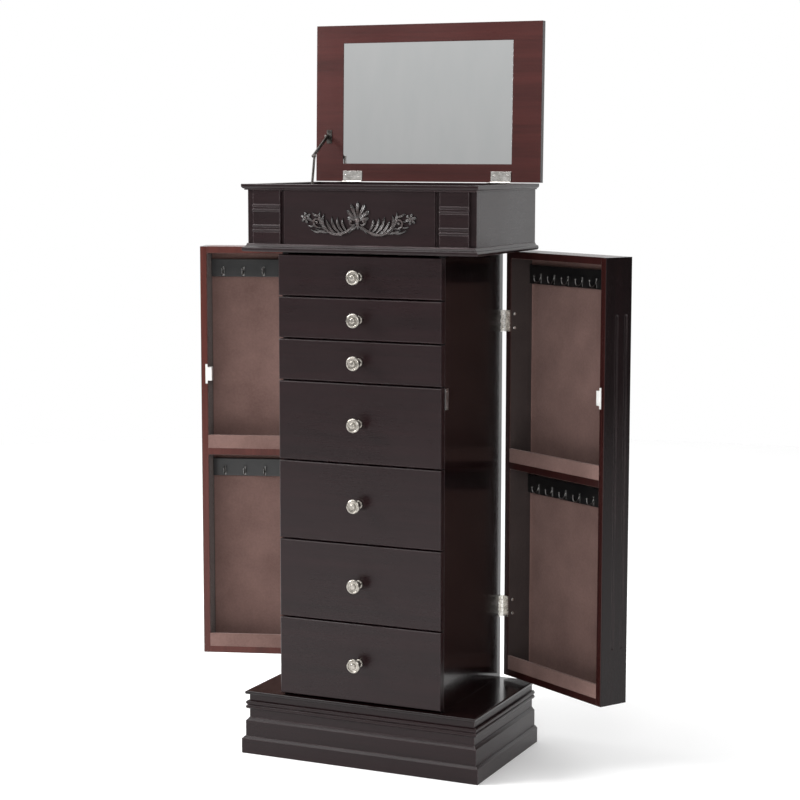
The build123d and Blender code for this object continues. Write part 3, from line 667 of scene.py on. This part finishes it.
def hook_shape(bm, along, level):
    """A necklace hook: a rounded plate on the rail, and a wire that turns out and up to a ball."""
    low = (along - 2.1 * MM, RAIL_FACE - 1.0 * MM, level - 7 * MM)
    high = (along + 2.1 * MM, RAIL_FACE + 0.2 * MM, level + 10 * MM)
    soft_box(bm, low, high, 0.45 * MM)
    controls = [Vector((along, RAIL_FACE - out * MM, level + up * MM)) for out, up in HOOK_WIRE]
    tube(bm, curve_points(controls, 26), 1.15 * MM)
    ball = Matrix.Translation((along, RAIL_FACE - HOOK_REACH, level + 6.4 * MM))
    bmesh.ops.create_uvsphere(bm, u_segments=14, v_segments=10, radius=2.0 * MM, matrix=ball)


def hook_rails():
    """Black rails with their hooks, in place of the plain CAD ones."""
    inward = Matrix.Rotation(math.pi / 2, 4, "X")
    for word in WORDS:
        body = f"door_{word}"
        rails = bmesh.new()
        hooks = bmesh.new()
        for top in RAIL_TOPS:
            low = (INSIDE[0] + 0.2 * MM, RAIL_FACE, top - RAIL_HEIGHT)
            high = (INSIDE[1] - 0.2 * MM, LINED_BACK, top)
            soft_box(rails, low, high, 1.2 * MM, 3)
            for along in HOOKS:
                hook_shape(hooks, along, top - HOOK_DROP)
                spot = Matrix.Translation((along, RAIL_FACE - 1.0 * MM, top - SCREW_DROP))
                screw(hooks, spot @ inward, 1.5 * MM)
        rail = finish_mesh(rails, f"{body}_rails", "rail", body, False, DOORS[word])
        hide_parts(f"{body}_hook_rails")
        finish_mesh(hooks, f"{body}_hooks", "hook", body, True, DOORS[word])


# ---------------------------------------------------------------- ring roll

BARS = 7
BAR_STEPS = 16  # divisions along a bar, and round it
BAR_ROOM = 5 * MM  # left free at its ends and above it, for the swelling
BAR_GAP = 4.2 * MM


def roll_form(length, width, height):
    """One stuffed bar of the ring roll before it swells: flat below and rounded above."""
    bm = bmesh.new()
    rings = []
    for i in range(BAR_STEPS + 1):
        share = i / BAR_STEPS
        shrink = 1 - 0.1 * abs(2 * share - 1) ** 6
        ring = []
        for c, s in circle(BAR_STEPS):
            y = width / 2 * shrink * math.copysign(abs(c) ** 0.6, c)
            z = height / 2 * (1 + shrink * math.copysign(abs(s) ** 0.7, s))
            ring.append(bm.verts.new((length * (share - 0.5), y, z)))
        rings.append(ring)
    bridge(bm, rings)
    bm.faces.new(rings[0])
    bm.faces.new(rings[-1])
    bmesh.ops.recalc_face_normals(bm, faces=bm.faces)
    mesh = bpy.data.meshes.new("ring_bar")
    bm.to_mesh(mesh)
    bm.free()
    return mesh


def swell(mesh, voxel, cap, pressure):
    """Puff up a closed form with cloth pressure, and keep every point within the cap of its start."""
    pad = bpy.data.objects.new("swelling", mesh)
    bpy.context.scene.collection.objects.link(pad)
    bpy.context.view_layer.objects.active = pad
    remesh = pad.modifiers.new("even", "REMESH")
    remesh.mode = "VOXEL"
    remesh.voxel_size = voxel
    bpy.ops.object.modifier_apply(modifier=remesh.name)
    rest = [v.co.copy() for v in pad.data.vertices]
    cloth = pad.modifiers.new("stuffing", "CLOTH")
    cloth.settings.quality = 6
    cloth.settings.mass = 0.15
    cloth.settings.use_pressure = True
    cloth.settings.uniform_pressure_force = pressure
    cloth.settings.tension_stiffness = 12
    cloth.settings.compression_stiffness = 4
    cloth.settings.effector_weights.gravity = 0
    scene = bpy.context.scene
    for step in range(1, 21):
        scene.frame_set(step)
    bpy.ops.object.modifier_apply(modifier=cloth.name)
    scene.frame_set(1)
    for vertex, start in zip(pad.data.vertices, rest):
        move = vertex.co - start
        if move.length > cap:
            vertex.co = start + move.normalized() * cap
        vertex.co.z = max(vertex.co.z, 0.2 * MM)
    puffed = pad.data
    bpy.data.objects.remove(pad)
    return puffed


def ring_roll():
    """Seven stuffed bars side by side, in place of the plain CAD block."""
    low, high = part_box("ring_cushion")
    pitch = (high.y - low.y) / BARS
    bar = roll_form(high.x - low.x - BAR_ROOM, pitch - BAR_GAP, high.z - low.z - BAR_ROOM)
    bar = swell(bar, 4.2 * MM, 2.4 * MM, 4.0)
    bm = bmesh.new()
    for k in range(BARS):
        part = bmesh.new()
        part.from_mesh(bar)
        centre = Vector(((low.x + high.x) / 2, low.y + pitch * (k + 0.5), low.z + 1.2 * MM))
        flip = -1 if k % 2 else 1
        for vertex in part.verts:
            at = Vector((vertex.co.x * flip, vertex.co.y, vertex.co.z))
            wave = noise.noise(Vector((at.x * 30, at.y * 30 + 7 * k, at.z * 30)))
            crease = noise.noise(Vector((at.x * 130, 5 * k, at.z * 60)))
            at += Vector((0, at.y, at.z)).normalized() * (0.5 * wave + 0.3 * crease) * MM
            vertex.co = centre + at
        if flip < 0:
            bmesh.ops.reverse_faces(part, faces=part.faces)
        merge(bm, part)
    piece = finish_mesh(bm, "ring_roll", "suede", "cabinet")
    subdivide(piece)
    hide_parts("ring_cushion")


# ---------------------------------------------------------------- carving

CARVED_LEVEL = 945 * MM
LEAF_SPREAD = 0.58  # a leaf's half width where it is broadest, as a share of its stated width
# across a leaf: shares of its half width, and of its height
LEAF_HALF = [(0, 0.6), (0.2, 0.86), (0.55, 0.88), (0.86, 0.42), (1, -0.12)]
LEAF_SECTION = [(-across, up) for across, up in LEAF_HALF[:0:-1]] + LEAF_HALF


def leaf(bm, spine, width, height, peak=0.45, side=1):
    """A carved leaf along a curved spine: two rounded ridges beside a vein, narrowing to a tip."""
    points = curve_points([Vector((x * side, z)) for x, z in spine], 14)
    last = len(points) - 1
    rows = []
    for i, point in enumerate(points):
        t = i / last
        ahead = (points[min(i + 1, last)] - points[max(i - 1, 0)]).normalized()
        across = Vector((-ahead.y, ahead.x))
        if t < peak:
            breadth = 0.3 + 0.7 * (t / peak) ** 0.7
        else:
            breadth = math.cos((t - peak) / (1 - peak) * math.pi / 2) ** 0.8
        half = width * LEAF_SPREAD * max(0.12, breadth)
        rise = height * (0.55 + 0.45 * math.sin(math.pi * min(1, t * 1.15)))
        row = []
        for share, up in LEAF_SECTION:
            x, z = point + across * share * half
            spot = (x * MM, CARVED_FACE - rise * up * MM, CARVED_LEVEL + z * MM)
            row.append(bm.verts.new(spot))
        rows.append(row)
    bridge(bm, rows, closed=False)


def boss(bm, x, z, radius, height, rim=0.0):
    """A round button, with a hollow round its middle if it has a rim."""
    spot = Matrix.Translation((x * MM, CARVED_FACE, CARVED_LEVEL + z * MM))
    dome = [(1, 0.35), (0.86, 0.75), (0.62, 0.95 - rim), (0.36, 1.0 - rim), (0.12, 1.04)]
    profile = [(radius * MM, -0.3 * MM)]
    profile += [(share * radius * MM, up * height * MM) for share, up in dome]
    lathe(bm, profile, spot @ Matrix.Rotation(math.pi / 2, 4, "X"), 18)


def carving():
    """Carved ornament: a fan over a drop, and on each side a leafy branch with a scroll and a flower."""
    bm = bmesh.new()
    for step in range(-3, 4):
        turn = math.radians(27 * step)
        reach = 30 - 1.1 * step * step
        tip = (reach * math.sin(turn), -3 + reach * math.cos(turn))
        bend = (0.55 * reach * math.sin(turn * 1.06), -3 + 0.55 * reach * math.cos(turn * 1.06))
        leaf(bm, [(1.5 * math.sin(turn), -3), bend, tip], 7.4, 4.6 - 0.2 * abs(step), 0.72)
    boss(bm, 0, -4, 5.0, 6.2, 0.25)
    leaf(bm, [(0, -7), (0, -12), (0, -20)], 7.0, 4.6, 0.4)
    for side in (1, -1):
        # scrolls that carry the fan
        leaf(bm, [(3, -9), (9, -12), (14.5, -9), (14.5, -4), (10.5, -3.2)], 4.2, 4.6, 0.3, side)
        boss(bm, side * 11.5, -6.2, 2.4, 5.2)
        leaf(bm, [(2, -13), (6, -17), (12, -20), (17, -27)], 5.2, 3.8, 0.4, side)
        # the branch and its scroll
        branch = [(4, -11), (12, -17), (22, -24), (36, -28), (50, -26.5), (62, -20), (71, -14)]
        leaf(bm, branch, 5.6, 5.0, 0.35, side)
        scroll = [(66, -17), (74, -17.5), (81, -13), (82, -6)]
        scroll += [(77, -2), (71.5, -4.5), (71, -9.5), (75, -11.5)]
        leaf(bm, scroll, 4.6, 5.0, 0.3, side)
        boss(bm, side * 76, -8.5, 2.6, 5.4, 0.2)
        # leaves that rise from the branch
        for spine, width in (
            ([(20, -23), (25, -17), (29, -8), (28, -1)], 5.6),
            ([(25, -25), (32, -19), (38, -9), (38, 1)], 6.4),
            ([(31, -27), (40, -20), (47, -10), (49, 2)], 6.6),
            ([(38, -27.5), (48, -22), (55, -13), (59, -3)], 6.2),
            ([(46, -27), (55, -22.5), (62, -15), (66, -6)], 5.4),
            ([(56, -23), (63, -15), (66, -4), (63, 6)], 5.6),
            ([(62, -19), (69, -9), (72, 1), (71, 11)], 5.8),
            ([(66, -5), (73, 2), (81, 4), (87, 9)], 4.8),
        ):
            leaf(bm, spine, width, 4.3, 0.5, side)
        # leaves that hang below it
        for spine, width in (
            ([(24, -25), (31, -29), (38, -30)], 3.6),
            ([(52, -25), (62, -25), (72, -22.5), (80, -18)], 4.6),
            ([(60, -21), (70, -24.5), (80, -24), (90, -19)], 4.4),
            ([(78, -13), (86, -15.5), (94, -13.5)], 4.0),
        ):
            leaf(bm, spine, width, 3.7, 0.5, side)
        # the flower at the end
        leaf(bm, [(81, -7), (88, -5), (94, -3)], 3.2, 3.4, 0.4, side)
        for turn in range(-60, 241, 60):
            angle = math.radians(turn + 15)
            tip = (97 + 10.5 * math.cos(angle), -1 + 9.5 * math.sin(angle))
            bend = (97 + 5.5 * math.cos(angle + 0.12), -1 + 5.0 * math.sin(angle + 0.12))
            leaf(bm, [(97, -1), bend, tip], 6.0, 3.9, 0.62, side)
        boss(bm, side * 97, -1, 2.6, 5.2)
    piece = finish_mesh(bm, "carved_ornament", "carving", "cabinet")
    subdivide(piece)
    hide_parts("carved_applique")


# ---------------------------------------------------------------- small hardware

LID_HINGES = (-145 * MM, 145 * MM)
DOOR_HINGES = (243 * MM, 758 * MM)
STRIKE_HEIGHT = 645 * MM
# X and Y of the screws in the door hinges and in the strike plates, on the right
DOOR_HINGE_SCREWS = (153.1 * MM, 135.5 * MM)
STRIKE_SCREWS = (153 * MM, -108.5 * MM)
# how far a screw's head is domed
FLUSH = 0.14
LOW_DOME = 0.3


def lid_screws():
    """Screws in the lid's hinges: two in each leaf on the lid and two in each on the rim."""
    lid = joints["lid_hinge"]
    turn = math.radians(-lid["range_deg"][0])
    pin = Vector(lid["pos_m"])
    up = Vector((0, -math.cos(turn), math.sin(turn)))
    face = Vector((0, math.sin(turn), math.cos(turn)))
    step = 12.5 * MM
    radius = 2.3 * MM
    on_lid = bmesh.new()
    on_rim = bmesh.new()
    for middle in LID_HINGES:
        for x in (middle - step, middle + step):
            spot = Vector((x, 0, 0)) + pin + up * step + face * 1.5 * MM
            screw(on_lid, Matrix.Translation(spot) @ pointing(-face), radius, FLUSH)
            spot = Matrix.Translation((x, pin.y - step, pin.z + 1.1 * MM))
            screw(on_rim, spot, radius, FLUSH)
    finish_mesh(on_lid, "lid_hinge_screws", "hinge", "lid")
    finish_mesh(on_rim, "rim_hinge_screws", "hinge", "cabinet")


def side_screws():
    """Screws through the fixed door-hinge leaves and the strike plates on the carcass sides."""
    bm = bmesh.new()
    for side in (1, -1):
        out = pointing(Vector((side, 0, 0)))
        x, y = DOOR_HINGE_SCREWS
        for height in DOOR_HINGES:
            for step in (-12.3 * MM, 12.3 * MM):
                spot = Matrix.Translation((side * x, y, height + step))
                screw(bm, spot @ out, 2.2 * MM, LOW_DOME)
        x, y = STRIKE_SCREWS
        for step in (-13 * MM, 13 * MM):
            spot = Matrix.Translation((side * x, y, STRIKE_HEIGHT + step))
            screw(bm, spot @ out, 2.0 * MM, LOW_DOME)
    finish_mesh(bm, "carcass_screws", "hinge", "cabinet")


drawer_linings()
tray_linings()
door_linings()
hook_rails()
ring_roll()
carving()
lid_screws()
side_screws()


# ---------------------------------------------------------------- studio

AIM = Vector((0, 0, 0.7))
CAMERA_SPOT = (1.49168, -3.23127, 1.05969)
CAMERA_TURN = (24.552, 6.939, 0.069)  # azimuth, pitch and roll in degrees
# each lamp's place, the side of its square, and its power in watts
LAMPS = {
    "key": ((-3.0, -1.9, 2.3), 1.3, 125),
    "front": ((1.4, -3.4, 1.8), 1.2, 30),
    "fill": ((2.6, -1.6, 1.9), 1.4, 8),
    "top": ((-1.0, -0.3, 3.0), 1.8, 50),
}


def studio_floor():
    """A plain white floor that glows a little, just below the object."""
    material, tree, shader = new_material("studio_floor")
    cloud = speckle(tree, 3, detail=2)
    colour = blend_colours(tree, cloud, (0.93, 0.93, 0.93), (0.95, 0.95, 0.95))
    tree.links.new(colour, shader.inputs["Base Color"])
    shader.inputs["Roughness"].default_value = 0.9
    shader.inputs["Specular IOR Level"].default_value = 0.1
    shader.inputs["Emission Color"].default_value = (1, 1, 1, 1)
    shader.inputs["Emission Strength"].default_value = 0.12
    drop = (0, 0, -0.2 * MM)
    bpy.ops.mesh.primitive_circle_add(vertices=96, radius=4, fill_type="NGON", location=drop)
    floor = bpy.context.object
    floor.name = "studio_floor"
    floor.data.materials.append(material)


def surroundings():
    """Soft light: brightest behind the object, dimmer in front and below, and dark to the sides.

    The camera itself sees plain white.
    """
    world = bpy.data.worlds.new("studio")
    bpy.context.scene.world = world
    world.use_nodes = True
    tree = world.node_tree
    back = tree.nodes["Background"]
    split = node(tree, "SeparateXYZ", {"Vector": node(tree, "TexCoord").outputs["Generated"]})
    front = remap(tree, split.outputs["Z"], 0.36, 0.6, -0.02, 0.12)
    ahead = remap(tree, split.outputs["Y"], front, 1.2, -0.35, 0.35)
    sideways = node(tree, "Math", {0: split.outputs["X"]}, operation="ABSOLUTE").outputs[0]
    glow = multiply(tree, ahead, remap(tree, sideways, 1, 0.12, 0.55, 0.88))
    seen = node(tree, "LightPath").outputs["Is Camera Ray"]
    glow = node(tree, "Mix", {0: seen, 2: glow, 3: 1.0}).outputs[0]
    tree.links.new(glow, back.inputs["Strength"])
    back.inputs["Color"].default_value = (1, 1, 1, 1)


def lamps():
    """Square lamps that look at the middle of the object."""
    for name, (spot, size, power) in LAMPS.items():
        data = bpy.data.lights.new(name, "AREA")
        data.shape = "SQUARE"
        data.size = size
        data.energy = power
        lamp = bpy.data.objects.new(name, data)
        lamp.location = spot
        lamp.rotation_euler = (AIM - Vector(spot)).to_track_quat("-Z", "Y").to_euler()
        bpy.context.scene.collection.objects.link(lamp)


def camera():
    """A long lens from the right and a little above."""
    azimuth, pitch, roll = (math.radians(angle) for angle in CAMERA_TURN)
    level = math.cos(pitch)
    ahead = Vector((-math.sin(azimuth) * level, math.cos(azimuth) * level, -math.sin(pitch)))
    right = Vector((math.cos(azimuth), math.sin(azimuth), 0))
    up = right.cross(ahead)
    across = math.cos(roll) * right + math.sin(roll) * up
    above = -math.sin(roll) * right + math.cos(roll) * up
    data = bpy.data.cameras.new("camera")
    data.lens = 92.294
    data.shift_x = 0.0009
    data.shift_y = -0.0019
    data.clip_start = 0.05
    data.clip_end = 100
    view = bpy.data.objects.new("camera", data)
    spin = Matrix((across, above, -ahead)).transposed().to_4x4()
    view.matrix_world = Matrix.Translation(CAMERA_SPOT) @ spin
    bpy.context.scene.collection.objects.link(view)
    bpy.context.scene.camera = view


studio_floor()
surroundings()
lamps()
camera()
bpy.context.scene.view_settings.view_transform = "Standard"
